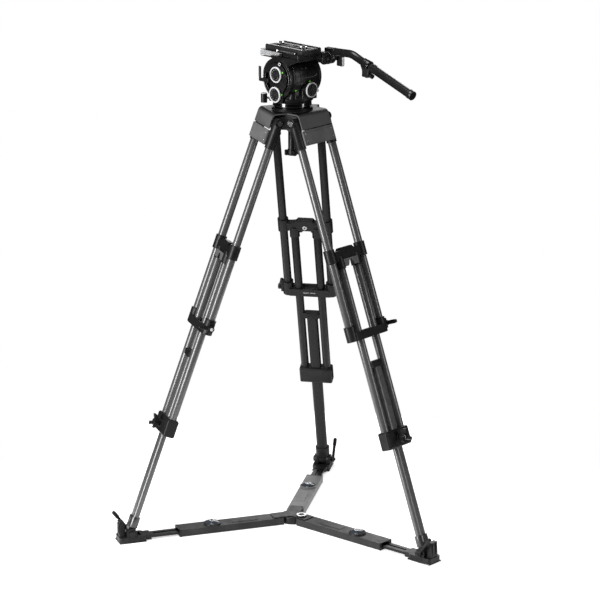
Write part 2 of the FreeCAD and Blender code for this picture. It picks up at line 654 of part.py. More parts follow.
def bar_clamp_lever():
    """Tee lever outside the rosette."""
    hub = join([rod_x(84.3, 92, ROSETTE_Y, ROSETTE_Z, 6), rod_x(91, 100, ROSETTE_Y, ROSETTE_Z, 11)])
    bolt = rod_x(66.8, 85, ROSETTE_Y, ROSETTE_Z, 5)
    arm = soft_box(91.5, 98.5, -104, -70, ROSETTE_Z - 5, ROSETTE_Z + 5, 2.5)
    tail = soft_box(91, 100.5, -105, -82, ROSETTE_Z - 24, ROSETTE_Z + 5, 3)
    return join([hub, bolt, arm, tail])


def bar_lock_knob():
    slope = math.radians(BAR_DROP)
    along = Vector(0, -math.cos(slope), -math.sin(slope))
    return knob(7, 11, 6, Vector(BAR_X, -229.8, 1342), along)


def main():
    os.makedirs("parts", exist_ok=True)
    standing = {
        "leg_yoke_": [leg_yoke()],
        "upper_tubes_": twin_tubes(UPPER_X, UPPER_START, FRAME_BOTTOM - 5),
        "carriage_": [carriage()],
        "middle_tubes_": twin_tubes(MIDDLE_X, MIDDLE_START, BLOCK_BOTTOM - 6),
        "upper_clamp_frame_": [clamp_frame()],
        "upper_clamp_lever_": [clamp_lever()],
        "lower_clamp_block_": [clamp_block()],
        "lower_clamp_knob_": [wing_knob()],
        "lower_tube_": lower_stage(),
    }
    lying = {
        "foot_block_": foot_block(),
        "foot_lever_": [foot_lever()],
        "spreader_rail_": [spreader_rail()],
        "spreader_lock_": [lock_button()],
    }
    for leg in LEG_AZIMUTH:
        for name, pieces in standing.items():
            write(name + leg, [on_leg(piece, leg) for piece in pieces])
        for name, pieces in lying.items():
            write(name + leg, [on_arm(piece, leg) for piece in pieces])
    write("spreader_sleeves", [on_arm(spreader_sleeve(), leg) for leg in LEG_AZIMUTH])
    write("spreader_hub", spreader_hub())
    write("crown_casting", [crown_casting()])
    write("leg_hinge_pins", [on_arm(hinge_pin(), leg) for leg in LEG_AZIMUTH])
    write("bowl_clamp_knob", [bowl_clamp_knob()])
    write("head_half_ball", [half_ball()])
    head = {
        "pan_housing": [pan_housing()],
        "drum_housing": [drum_housing()],
        "tilt_shaft_and_springs": tilt_shaft(),
        "tilt_platform": tilt_platform(),
        "camera_plate": camera_plate(),
        "plate_lock_lever": [plate_lever()],
        "tilt_drag_knob": [turned_knob(-5, TILT_Z + 12.5, -FACE_OUT - 1, 5)],
        "pan_drag_knob": [turned_knob(-1, TILT_Z - 44.5, -FACE_OUT - 1, 5)],
        "counterbalance_knob": [counterbalance_knob()],
        "tilt_brake_lever": [tilt_brake_lever()],
        "pan_brake_lever": [pan_brake_lever()],
        "pan_bar_bend": [bar_bend()],
        "pan_bar_grip": [bar_grip()],
        "pan_bar_clamp_lever": [bar_clamp_lever()],
        "pan_bar_lock_knob": [bar_lock_knob()],
    }
    for name, pieces in head.items():
        write(name, [on_head(piece) for piece in pieces])


main()
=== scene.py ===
import json
import math
import bmesh
import bpy
from mathutils import Matrix, Vector


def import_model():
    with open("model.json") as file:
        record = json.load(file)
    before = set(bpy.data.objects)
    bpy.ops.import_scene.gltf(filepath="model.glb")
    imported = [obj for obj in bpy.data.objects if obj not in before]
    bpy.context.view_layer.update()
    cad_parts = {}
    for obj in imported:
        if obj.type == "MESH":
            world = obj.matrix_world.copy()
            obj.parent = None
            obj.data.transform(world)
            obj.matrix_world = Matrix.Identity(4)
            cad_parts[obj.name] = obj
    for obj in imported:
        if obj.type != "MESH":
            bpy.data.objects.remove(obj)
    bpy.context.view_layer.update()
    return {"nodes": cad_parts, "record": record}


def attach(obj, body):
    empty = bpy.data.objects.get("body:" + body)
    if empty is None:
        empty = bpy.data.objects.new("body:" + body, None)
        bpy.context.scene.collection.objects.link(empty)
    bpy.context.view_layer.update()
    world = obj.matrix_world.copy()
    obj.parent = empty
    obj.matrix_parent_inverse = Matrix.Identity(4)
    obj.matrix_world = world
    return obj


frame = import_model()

# Dimensions are in millimetres. A leg is drawn upright, with its hinge at the origin, its outer
# side to -Y and its length down -Z. A foot or spreader arm is drawn along -Y from the pan axis.
# The head is drawn with +X to the operator's right and +Y to the front.
MM = 0.001
LEGS = {"a": -71, "b": 49, "c": 169}
HEAD_YAW = 43
LEG_TILT = 20
HINGE = Vector((0, -64, 1202))
TILT_Z = 1318
DECK_SIDE_X = -50
PLATE_TOP = 1402
KNOB_FACE_X = -68.5
CHEEK_X = -58.5
FACE_BOLT = (-59.9, -16, 1360.5)
ROSETTE = Vector((66.9, -72, 1370))
BAR_CORNER = Vector((78.5, -157, 1391.4))
BAR_DROP = 19.3
UPPER_X = 65
MIDDLE_X = 33.1
CARRIAGE_BOTTOM = -403
BUTTON = (0, 12.4, -387)
LOCK_Y = -245
HUB_BUTTON = (0, -34, 24.5)
GUIDE_ZONE = (690, 714)
FITTING_ZONE = (1202, 1290)
CAD_EDGE = 0.6
WELD_GAP = 0.02
EDGE_ANGLE = math.radians(32)
LATHE_STEPS = 72
ROD_SIDES = 16


def turned(degrees):
    return Matrix.Rotation(math.radians(degrees), 4, "Z")


HEAD = turned(HEAD_YAW)
ARM = {leg: turned(azimuth) for leg, azimuth in LEGS.items()}
LEAN = Matrix.Translation(HINGE) @ Matrix.Rotation(math.radians(-LEG_TILT), 4, "X")
LEG = {leg: ARM[leg] @ LEAN for leg in LEGS}
X = Vector((1, 0, 0))
Y = Vector((0, 1, 0))
Z = Vector((0, 0, 1))


# ---------------------------------------------------------------- materials

def principled(name, color, roughness, metallic=0.0):
    material = bpy.data.materials.new(name)
    material.use_nodes = True
    shader = material.node_tree.nodes["Principled BSDF"]
    shader.inputs["Base Color"].default_value = (*color, 1)
    shader.inputs["Roughness"].default_value = roughness
    shader.inputs["Metallic"].default_value = metallic
    return material, material.node_tree, shader


def noise(tree, scale, detail, stretch=(1, 1, 1)):
    """Noise in the piece's own coordinates; a small stretch value draws it out along that axis."""
    place = tree.nodes.new("ShaderNodeTexCoord")
    mapping = tree.nodes.new("ShaderNodeMapping")
    mapping.inputs["Scale"].default_value = stretch
    field = tree.nodes.new("ShaderNodeTexNoise")
    field.inputs["Scale"].default_value = scale
    field.inputs["Detail"].default_value = detail
    tree.links.new(place.outputs["Object"], mapping.inputs["Vector"])
    tree.links.new(mapping.outputs["Vector"], field.inputs["Vector"])
    return field.outputs["Fac"]


def ramp(tree, fac, low, high, start=0.35, end=0.65):
    """From one colour to another between two values of a field."""
    node = tree.nodes.new("ShaderNodeValToRGB")
    node.color_ramp.elements[0].position = start
    node.color_ramp.elements[1].position = end
    node.color_ramp.elements[0].color = (*low, 1)
    node.color_ramp.elements[1].color = (*high, 1)
    tree.links.new(fac, node.inputs["Fac"])
    return node.outputs["Color"]


def spread(tree, fac, low, high):
    """The middle range of a noise field, mapped to low and high."""
    node = tree.nodes.new("ShaderNodeMapRange")
    node.inputs["From Min"].default_value = 0.3
    node.inputs["From Max"].default_value = 0.7
    node.inputs["To Min"].default_value = low
    node.inputs["To Max"].default_value = high
    tree.links.new(fac, node.inputs["Value"])
    return node.outputs["Result"]


def bump(tree, shader, height, strength, distance):
    node = tree.nodes.new("ShaderNodeBump")
    node.inputs["Strength"].default_value = strength
    node.inputs["Distance"].default_value = distance
    tree.links.new(height, node.inputs["Height"])
    tree.links.new(node.outputs["Normal"], shader.inputs["Normal"])


def coated(name, dark, light, rough_low, rough_high, grain=1400, depth=0.00006, shine=0.22):
    """Paint or moulded plastic: blotchy tone, uneven gloss and a fine grain."""
    material, tree, shader = principled(name, dark, rough_low)
    shader.inputs["Specular IOR Level"].default_value = shine
    tree.links.new(ramp(tree, noise(tree, 22, 5), dark, light), shader.inputs["Base Color"])
    tree.links.new(spread(tree, noise(tree, 60, 4), rough_low, rough_high), shader.inputs["Roughness"])
    bump(tree, shader, noise(tree, grain, 2), 0.5, depth)
    return material


def brushed(name, dark, light, rough_low, rough_high, stretch, depth=0.00002):
    """Bare or anodised metal, brushed along the axis whose stretch value is small."""
    material, tree, shader = principled(name, dark, rough_low, 1.0)
    lines = noise(tree, 900, 4, stretch)
    tree.links.new(ramp(tree, lines, dark, light), shader.inputs["Base Color"])
    tree.links.new(spread(tree, noise(tree, 35, 3), rough_low, rough_high), shader.inputs["Roughness"])
    bump(tree, shader, lines, 0.4, depth)
    return material


def grey(level):
    return (level, level, level * 1.02)


def where(tree, direction, low, high):
    """1 where a point's distance (metres) along a direction lies between low and high."""
    place = tree.nodes.new("ShaderNodeTexCoord")
    along = tree.nodes.new("ShaderNodeVectorMath")
    along.operation = "DOT_PRODUCT"
    along.inputs[1].default_value = direction
    tree.links.new(place.outputs["Object"], along.inputs[0])
    inside = tree.nodes.new("ShaderNodeMath")
    inside.operation = "COMPARE"
    inside.inputs[1].default_value = (low + high) / 2
    inside.inputs[2].default_value = (high - low) / 2
    tree.links.new(along.outputs["Value"], inside.inputs[0])
    return inside.outputs["Value"]


def facing(tree, low, high):
    """Rises from 0 to 1 as a surface turns from level to upright."""
    geometry = tree.nodes.new("ShaderNodeNewGeometry")
    parts = tree.nodes.new("ShaderNodeSeparateXYZ")
    tree.links.new(geometry.outputs["Normal"], parts.inputs["Vector"])
    node = tree.nodes.new("ShaderNodeMapRange")
    node.inputs["From Min"].default_value = high
    node.inputs["From Max"].default_value = low
    tree.links.new(parts.outputs["Z"], node.inputs["Value"])
    return node.outputs["Result"]


def mixed(tree, fac, shader, level):
    """Blends the shader's present colour towards a grey level."""
    before = shader.inputs["Base Color"].links[0].from_socket
    node = tree.nodes.new("ShaderNodeMix")
    node.data_type = "RGBA"
    node.inputs["B"].default_value = (level, level, level, 1)
    tree.links.new(fac, node.inputs["Factor"])
    tree.links.new(before, node.inputs["A"])
    tree.links.new(node.outputs["Result"], shader.inputs["Base Color"])


def carbon(name, dark, light, coat, axis, black_zones):
    """Clear-coated carbon cloth; the bonded end fittings are black."""
    material, tree, shader = principled(name, grey(dark), 0.36)
    shader.inputs["Coat Weight"].default_value = coat
    shader.inputs["Specular IOR Level"].default_value = coat / 2
    shader.inputs["Coat Roughness"].default_value = 0.34
    cloth = tree.nodes.new("ShaderNodeTexWave")
    cloth.inputs["Scale"].default_value = 130
    cloth.inputs["Distortion"].default_value = 3
    place = tree.nodes.new("ShaderNodeTexCoord")
    tree.links.new(place.outputs["Object"], cloth.inputs["Vector"])
    weave = ramp(tree, cloth.outputs["Fac"], grey(dark), grey(light), 0.2, 0.8)
    tree.links.new(weave, shader.inputs["Base Color"])
    tree.links.new(spread(tree, noise(tree, 40, 4), 0.24, 0.34), shader.inputs["Roughness"])
    bump(tree, shader, cloth.outputs["Fac"], 0.25, 0.00004)
    for low, high in black_zones:
        mixed(tree, where(tree, axis, low, high), shader, 0.015)
    return material


def crown_paint():
    """Black on level faces; a painted reflection makes the upright skirts greyer, and the raised rim is
    kept black.
    """
    material = coated("crown_paint_painted_skirt_reflection", grey(0.003), grey(0.006), 0.34, 0.46, shine=0.07)
    tree = material.node_tree
    shader = tree.nodes["Principled BSDF"]
    rim_low, rim_high = 1.2264, 1.24
    # Painted reflection: faces that turn upright are blended towards grey by their direction, standing
    # in for the light they reflect.
    mixed(tree, facing(tree, 0.35, 0.97), shader, 0.085)
    # Keeps the raised rim black, free of the painted reflection.
    mixed(tree, where(tree, (0, 0, 1), rim_low, rim_high), shader, 0.005)
    return material


def sleeve_paint_with_painted_reflection():
    """Dark grey, with a painted reflection that makes the arm running to the rear lighter."""
    material = coated("spreader_grey_paint_rear_painted_reflection", grey(0.016), grey(0.026), 0.36, 0.48)
    tree = material.node_tree
    rear_start, rear_end = 0.045, 0.6
    # Painted reflection: the arm that runs to the rear is made lighter in colour, standing in for the
    # light its brushed finish reflects.
    rear = where(tree, (0, 1, 0), rear_start, rear_end)
    mixed(tree, rear, tree.nodes["Principled BSDF"], 0.17)
    return material


def glow(name, color, strength):
    """A mark or window with a painted glow: it gives off a little light, though it is no lamp."""
    material, tree, shader = principled(name, color, 0.3)
    shader.inputs["Emission Color"].default_value = (*color, 1)
    shader.inputs["Emission Strength"].default_value = strength
    tree.links.new(spread(tree, noise(tree, 300, 2), 0.2, 0.4), shader.inputs["Roughness"])
    bump(tree, shader, noise(tree, 900, 2), 0.3, 0.00003)
    return material


MATERIALS = {
    "yoke_grey": coated("yoke_black_casting", grey(0.007), grey(0.012), 0.34, 0.46),
    "crown_paint": crown_paint(),
    "black_casting": coated("black_casting", grey(0.007), grey(0.012), 0.34, 0.46),
    "black_plastic": coated("black_plastic", grey(0.006), grey(0.01), 0.32, 0.44),
    "rail_metal": brushed("rail_metal", grey(0.02), grey(0.04), 0.35, 0.45, (1, 0.03, 1)),
    "button_gloss": coated(
        "button_gloss", (0.03, 0.035, 0.045), (0.05, 0.06, 0.075), 0.1, 0.18, depth=0.00001, shine=0.7
    ),
    "spreader_grey": sleeve_paint_with_painted_reflection(),
    "bright_steel": brushed("bright_steel", grey(0.35), grey(0.5), 0.2, 0.32, (1, 0.05, 1)),
    "satin_aluminium": brushed("black_chrome_neck", grey(0.05), grey(0.09), 0.1, 0.18, (0.05, 0.05, 1)),
    "head_paint": coated("head_paint", grey(0.005), grey(0.009), 0.28, 0.4),
    "plate_anodised": coated("plate_anodised", grey(0.014), grey(0.024), 0.3, 0.42),
    "knob_rim": coated("knob_grip", grey(0.012), grey(0.02), 0.35, 0.45),
    "bar_paint": coated(
        "bar_gloss_paint", grey(0.006), grey(0.01), 0.16, 0.24, depth=0.00001, shine=0.5
    ),
    "grip_rubber": coated("grip_rubber", grey(0.006), grey(0.01), 0.22, 0.3, 500, 0.00001, 0.6),
}
PANEL_GREY = coated("plate_grey_paint", grey(0.09), grey(0.12), 0.38, 0.5)
SIDE_GREY = coated("side_panel_grey", grey(0.24), grey(0.32), 0.3, 0.4)
RING_WHITE = coated("ring_white", grey(0.5), grey(0.62), 0.2, 0.32)
SILVER = brushed("silver_trim", grey(0.5), grey(0.65), 0.18, 0.3, (1, 1, 0.1))
# Green print and the cyan level window, each with a painted glow though neither is a lamp.
MARK_GREEN_PAINTED_GLOW = glow("mark_green_painted_glow", (0.12, 0.5, 0.02), 0.35)
LEVEL_CYAN_PAINTED_GLOW = glow("level_cyan_painted_glow", (0.3, 0.55, 0.55), 0.25)
BLACK = MATERIALS["black_plastic"]
GLOSS = MATERIALS["bar_paint"]
CARBON = {}
for leg in LEGS:
    axis = LEG[leg].to_3x3() @ Vector((0, 0, -1))
    start = axis.dot(LEG[leg] @ Vector((0, 0, 0))) * MM
    zones = [(start + low * MM, start + high * MM) for low, high in (GUIDE_ZONE, FITTING_ZONE)]
    # Painted shade: leg C gets a darker copy of the carbon with less coat than legs A and B, so it reads
    # as shaded under any lamp.
    tone = (0.012, 0.022, 0.15) if leg == "c" else (0.045, 0.08, 0.8)
    CARBON["upper_tubes_" + leg] = carbon("carbon_" + leg, *tone, axis, [])
    CARBON["middle_tubes_" + leg] = CARBON["upper_tubes_" + leg]
    CARBON["lower_tube_" + leg] = carbon("carbon_lower_" + leg, *tone, axis, zones)

SLOT_OF = {s["node"]: s["material_slot"] for s in frame["record"]["subparts"]}


def dress(node):
    """Gives a CAD node its finish and slightly broken edges."""
    piece = frame["nodes"][node]
    piece.data.materials.clear()
    piece.data.materials.append(CARBON.get(node) or MATERIALS[SLOT_OF[node]])
    weld = piece.modifiers.new("weld", "WELD")
    weld.merge_threshold = WELD_GAP * MM
    edge = piece.modifiers.new("edge", "BEVEL")
    edge.width = CAD_EDGE * MM
    edge.segments = 2
    edge.limit_method = "ANGLE"
    edge.angle_limit = EDGE_ANGLE


for node in frame["nodes"]:
    dress(node)


# ---------------------------------------------------------------- shapes

def block(low, high, mesh):
    """A box between two corners."""
    place = Matrix.Translation((Vector(low) + Vector(high)) / 2)
    size = Vector(high) - Vector(low)
    bmesh.ops.create_cube(mesh, size=1, matrix=place @ Matrix.Diagonal((*size, 1)))


def prism(outline, axis, low, high, mesh):
    """An outline of (across, up) points pushed along x or y."""
    lift = {
        "x": lambda a, b, d: (d, a, b),
        "y": lambda a, b, d: (a, d, b),
    }[axis]
    first = [mesh.verts.new(lift(a, b, low)) for a, b in outline]
    last = [mesh.verts.new(lift(a, b, high)) for a, b in outline]
    mesh.faces.new(first)
    mesh.faces.new(last)
    count = len(outline)
    for i in range(count):
        after = (i + 1) % count
        mesh.faces.new((first[i], first[after], last[after], last[i]))


def lathe(outline, start, axis, mesh):
    """A closed outline of (radius, height) points turned about an axis."""
    side = axis.orthogonal().normalized()
    corners = [mesh.verts.new(Vector(start) + side * r + axis * h) for r, h in outline]
    count = len(corners)
    edges = [mesh.edges.new((corners[i], corners[(i + 1) % count])) for i in range(count)]
    bmesh.ops.spin(
        mesh, geom=corners + edges, cent=start, axis=axis, angle=2 * math.pi,
        steps=LATHE_STEPS, use_merge=True,
    )


def rod(points, radius, mesh):
    """A round bar that follows a line of points."""
    points = [Vector(p) for p in points]
    rings = []
    for i, centre in enumerate(points):
        ahead = points[min(i + 1, len(points) - 1)] - points[max(i - 1, 0)]
        turn = ahead.to_track_quat("Z", "Y")
        circle = []
        for k in range(ROD_SIDES):
            angle = 2 * math.pi * k / ROD_SIDES
            rim = Vector((radius * math.cos(angle), radius * math.sin(angle), 0))
            circle.append(mesh.verts.new(centre + turn @ rim))
        rings.append(circle)
    for circle, after in zip(rings, rings[1:]):
        for k in range(ROD_SIDES):
            other = (k + 1) % ROD_SIDES
            mesh.faces.new((circle[k], circle[other], after[other], after[k]))
    mesh.faces.new(rings[0])
    mesh.faces.new(rings[-1])


def make(name, place, body, material, shapes, edge=0.3):
    """Builds one piece from (function, arguments) pairs and fixes it to a body."""
    mesh = bmesh.new()
    for shape, *arguments in shapes:
        shape(*arguments, mesh)
    bmesh.ops.remove_doubles(mesh, verts=mesh.verts, dist=0.001)
    bmesh.ops.recalc_face_normals(mesh, faces=mesh.faces)
    mesh.transform(Matrix.Scale(MM, 4) @ place)
    data = bpy.data.meshes.new(name)
    mesh.to_mesh(data)
    mesh.free()
    for face in data.polygons:
        face.use_smooth = True
    data.set_sharp_from_angle(angle=EDGE_ANGLE)
    data.materials.append(material)
    piece = bpy.data.objects.new(name, data)
    bpy.context.scene.collection.objects.link(piece)
    bevel = piece.modifiers.new("edge", "BEVEL")
    bevel.width = edge * MM
    bevel.segments = 3
    bevel.limit_method = "ANGLE"
    bevel.angle_limit = EDGE_ANGLE
    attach(piece, body)


def ring(inner, outer, low, high, start, axis):
    """A flat ring about an axis, between two heights above its start."""
    outline = [(inner, low), (outer, low), (outer, high), (inner, high)]
    return (lathe, outline, Vector(start), axis)


def dot(radius, low, high, start, axis):
    """A small disc with a sloping shoulder."""
    shoulder = high - 0.4 * (high - low)
    outline = [(0, low), (radius, low), (radius, shoulder), (0.8 * radius, high), (0, high)]
    return (lathe, outline, Vector(start), axis)


# ---------------------------------------------------------------- head

def head_platform():
    """Side panel, level window, catch, plate rails and screws, flange bead and lever tip."""
    panel = [(74, 1374), (77, 1377), (77, 1388), (74, 1390), (-10, 1389.5), (-14, 1387), (20, 1377)]
    inset = [(70, 1377), (70, 1387), (-4, 1386.6), (24, 1379.4)]
    make("deck_side_panel", HEAD, "tilt", SIDE_GREY, [
        (prism, panel, "x", -51.0, -49.9),
        (prism, inset, "x", -51.6, -50.9),
    ])
    make("deck_side_screws", HEAD, "tilt", SILVER, [
        dot(1.7, 0, 0.9, (-51.5, y, 1383), -X) for y in (12, 34, 56)
    ], 0.1)
    make("level_window_frame", HEAD, "tilt", RING_WHITE, [
        (block, (-51.2, 63.5, 1373.5), (DECK_SIDE_X, 77.5, 1375.5)),
        (block, (-51.2, 63.5, 1387.5), (DECK_SIDE_X, 77.5, 1389.5)),
        (block, (-51.2, 75.5, 1375), (DECK_SIDE_X, 77.5, 1388)),
        (block, (-51.2, 63.5, 1375), (DECK_SIDE_X, 65.5, 1388)),
    ])
    make("level_window", HEAD, "tilt", LEVEL_CYAN_PAINTED_GLOW, [
        (block, (-50.9, 65, 1375), (-49.9, 76, 1388)),
        (rod, [(-50.2, 67, 1381.5), (-50.2, 74, 1381.5)], 1.1),
    ])
    make("plate_catch", HEAD, "tilt", BLACK, [
        (block, (-55, -15, 1380.5), (DECK_SIDE_X, -6, 1389)),
        (block, (-55.8, -13.5, 1382), (-54.5, -7.5, 1387.5)),
        (rod, [(-52, -42, 1384), (-52, -20, 1384)], 2.4),
    ], 0.8)
    rails = []
    for side in (-1, 1):
        near, far = sorted((side * 30.5, side * 36.5))
        rails.append((block, (near, -76, PLATE_TOP), (far, 69, 1404.4)))
        near, far = sorted((side * 6.5, side * 11))
        rails.append((block, (near, -64, PLATE_TOP), (far, 62, 1403.6)))
    make("plate_rails", HEAD, "plate", MATERIALS["plate_anodised"], rails, 0.6)
    crossings = [(block, (-29, y, PLATE_TOP), (29, y + 3, 1403.2)) for y in (-72, 2, 63)]
    rubber = MATERIALS["grip_rubber"]
    make("plate_cross_pads", HEAD, "plate", rubber, crossings, 0.5)
    heads = []
    for y in (-45, 48):
        heads.append(ring(5.2, 9.5, 1.2, 4.6, (0, y, PLATE_TOP), Z))
        heads.append((block, (-13.5, y - 1.6, 1403.6), (-9, y + 1.6, 1406.2)))
        heads.append((block, (9, y - 1.6, 1403.6), (13.5, y + 1.6, 1406.2)))
    make("camera_screw_collars", HEAD, "plate", SILVER, heads, 0.4)
    glints = [dot(1.9, 0, 1.1, (x, y, 1404.2), Z) for x in (-33.5, 33.5) for y in (-70, -20, 20, 62)]
    make("plate_rail_screws", HEAD, "plate", SILVER, glints, 0.1)
    flange = [
        (-57, -36, 1357), (-53.5, -60, 1367), (-50, -78.4, 1377),
        (-25, -79, 1379.6), (0, -79, 1381.4), (45, -78.6, 1384),
    ]
    make("deck_flange_bead", HEAD, "tilt", GLOSS, [(rod, flange, 1.5)])
    make("plate_lever_tip", HEAD, "plate_lever", SILVER, [
        (block, (-47.6, -60, 1391.6), (-41.2, -24, 1397)),
        ring(5.2, 6.2, 0.8, 5, (-44, 12, 1391.3), Z),
    ], 1.0)


def dial(name, body, y, z):
    """White ring, scale and grip bar of a drag knob on the left face."""
    start = (KNOB_FACE_X, y, z)
    rim = [(18.6, -1), (22.1, -3.2), (22.3, 0.2), (21.2, 1.7), (19.3, 1.7), (18.4, 0.6)]
    make(name + "_ring", HEAD, body, RING_WHITE, [(lathe, rim, Vector(start), -X)])
    bars = [(block, (-71.5, y - 3, z - 14), (-68, y + 3, z + 14)), ring(11.5, 16.2, 0, 0.9, start, -X)]
    bars.append(dot(6.5, 0, 2.2, start, -X))
    make(name + "_grip", HEAD, body, BLACK, bars, 1.2)
    ticks = []
    scale_r = 13.9
    for i in range(9):
        angle = math.radians(30 * i)
        centre = Vector((-69.4, y + scale_r * math.sin(angle), z + scale_r * math.cos(angle)))
        reach = Vector((0, math.sin(angle), math.cos(angle))) * 1.6
        ticks.append((rod, [centre - reach, centre + reach], 0.35))
    make(name + "_scale", HEAD, body, RING_WHITE, ticks, 0.05)


def triangle(y, z, size):
    """Outline of a pointer mark beside a dial."""
    return [(y - size, z + size * 0.4), (y + size * 0.6, z + size), (y + size * 0.4, z - size)]


def head_left_face():
    """Drag dials, marks, bolt and rims of the control face, and the edges of its two levers."""
    dial("tilt_drag_dial", "tilt_drag", -5, 1330.5)
    dial("pan_drag_dial", "pan_drag", -1, 1273.5)
    make("face_marks", HEAD, "pan", MARK_GREEN_PAINTED_GLOW, [
        (prism, triangle(-27, 1338, 3.6), "x", -63.4, -62.3),
        (prism, triangle(-24.5, 1276, 2.6), "x", -63.4, -62.3),
    ], 0.1)
    bolt = [ring(2.6, 4.6, 2.7, 4.6, FACE_BOLT, -X)]
    make("face_bolt", HEAD, "pan", RING_WHITE, bolt)
    make("face_bolt_seat", HEAD, "pan", BLACK, [
        ring(0.01, 5.6, 0.1, 2.9, FACE_BOLT, -X),
        ring(0.01, 1.6, 2.7, 3.9, FACE_BOLT, -X),
    ], 0.4)
    lines = [ring(42.2, 43.2, 0, 0.35, (-62.4, 0, TILT_Z), -X)]
    make("face_plate_rim", HEAD, "pan", GLOSS, lines, 0.1)
    rim = [(46.5, 0), (57.6, 0), (56.4, 1.0), (54.8, 0.3), (49.2, 0.3), (47.4, 0.9)]
    cheek = Vector((CHEEK_X, 0, TILT_Z))
    make("cheek_rim", HEAD, "tilt", GLOSS, [(lathe, rim, cheek, -X)])
    make("tilt_brake_edge", HEAD, "tilt_brake", SIDE_GREY, [
        (block, (-65.6, 66, 1315), (-61, 69.6, 1345.6)),
    ], 1.2)
    make("pan_brake_rims", HEAD, "pan_brake", SIDE_GREY, [
        ring(7, 9.0, 0, 1.6, (-60.5, 51, 1243.4), Z),
        ring(7, 9.0, 25.4, 27, (-60.5, 51, 1243.4), Z),
    ], 0.5)


def head_rear():
    """Drum bands and scale line, counterbalance dial and the green marks."""
    bands = []
    for x in (-41, -22, -9, 4, 17, 30, 42):
        bands.append(ring(57.5, 58.35, -0.9, 0.9, (x, 0, TILT_Z), X))
    make("drum_bands", HEAD, "pan", GLOSS, bands, 0.2)
    seam = [(-10, -57.9, 1321), (8, -57.9, 1321), (26, -57.9, 1321.4), (38, -57.7, 1324)]
    make("drum_scale_line", HEAD, "pan", SIDE_GREY, [
        (rod, seam, 0.45),
        (rod, [(38, -57.7, 1324), (38, -57, 1329)], 0.5),
    ])
    centre = (9, -70.5, 1287)
    # Painted highlight: the counterbalance's light metal rim is painted white, brighter than its metal,
    # to stand in for its highlight.
    make("counterbalance_rim_painted_highlight", HEAD, "counterbalance", RING_WHITE, [
        (lathe, [(18.2, -1.5), (20.9, -2.5), (21.1, 0.2), (19.6, 1.2), (18, 0.8)], Vector(centre), -Y),
    ])
    make("counterbalance_grip", HEAD, "counterbalance", BLACK, [
        ring(0.01, 15, 0, 1.4, centre, -Y),
        (block, (6, -76.2, 1274), (12, -71, 1300)),
        ring(0.01, 8, 0, 4.4, centre, -Y),
    ], 1.2)
    tip = [(0, 0), (3.6, 0), (4.6, 1.5), (4.6, 5.5), (3.4, 7.5), (0, 7.5)]
    make("counterbalance_crank_tip", HEAD, "counterbalance", RING_WHITE, [
        (lathe, tip, Vector((29.5, -65.5, 1281.5)), X),
        (rod, [(24, -65.5, 1283), (30, -65.5, 1281.5)], 2.6),
    ])
    make("rear_marks", HEAD, "pan", MARK_GREEN_PAINTED_GLOW, [
        (prism, [(10.5, 1307.5), (16.5, 1307.5), (13.5, 1312)], "y", -58.6, -57.2),
        (prism, [(-37, 1287), (-32, 1287), (-32, 1289.4), (-37, 1289.4)], "y", -52.4, -46),
    ], 0.1)


def neck():
    """Black bands above and below the bright neck collar."""
    make("neck_groove", HEAD, "crown", BLACK, [
        ring(50, 54.5, 0, 2.2, (0, 0, 1247.6), Z),
        ring(49.6, 55.2, 0, 1.6, (0, 0, 1237.4), Z),
    ], 0.4)


def bar_point(distance):
    """Point on the lower, sloping part of the pan bar, measured from its corner."""
    slope = math.radians(BAR_DROP)
    return BAR_CORNER + Vector((0, -math.cos(slope), -math.sin(slope))) * distance


def pan_bar():
    """Coupling, fairing, rosette teeth, lever facing and grip bands."""
    along = (bar_point(1) - bar_point(0)).normalized()
    bulge = [(11.3, 0), (12.4, 2), (14.6, 14), (14.8, 24), (13.6, 26), (11, 26)]
    make("bar_coupling", HEAD, "bar", GLOSS, [(lathe, bulge, bar_point(50), along)])
    outline = [
        (-192, 1376), (-232, 1361), (-229.4, 1342), (-224, 1333.5), (-216, 1333.5), (-207, 1345),
    ]
    fairing = [(prism, outline, "x", 70.6, 86.4)]
    make("bar_fairing", HEAD, "bar", MATERIALS["black_casting"], fairing, 3.0)
    teeth = [ring(15.5, 17.5, 0, 2.4, (65.7, ROSETTE.y, ROSETTE.z), X)]
    for i in range(36):
        angle = math.radians(10 * i)
        reach = Vector((0, math.cos(angle), math.sin(angle)))
        start = ROSETTE + reach * 17
        teeth.append((rod, [start - X * 1.3, start + X * 1.3], 0.75))
    make("rosette_teeth", HEAD, "tilt", SILVER, teeth, 0.05)
    make("bar_lever_facing", HEAD, "bar_clamp", RING_WHITE, [
        (block, (92.2, -106.4, 1348), (99.4, -104.6, 1373)),
        (block, (94, -107, 1351), (97.6, -105.6, 1370)),
    ], 0.8)
    rings = [ring(12, 12.7, 0, 1.2, bar_point(88 + 4 * i), along) for i in range(3)]
    rings.append(ring(12, 13.5, 0, 2.5, bar_point(238), along))
    rings.append(ring(11, 13.4, 0, 2, bar_point(249), along))
    make("grip_bands", HEAD, "grip", BLACK, rings, 0.4)


# ---------------------------------------------------------------- crown and legs

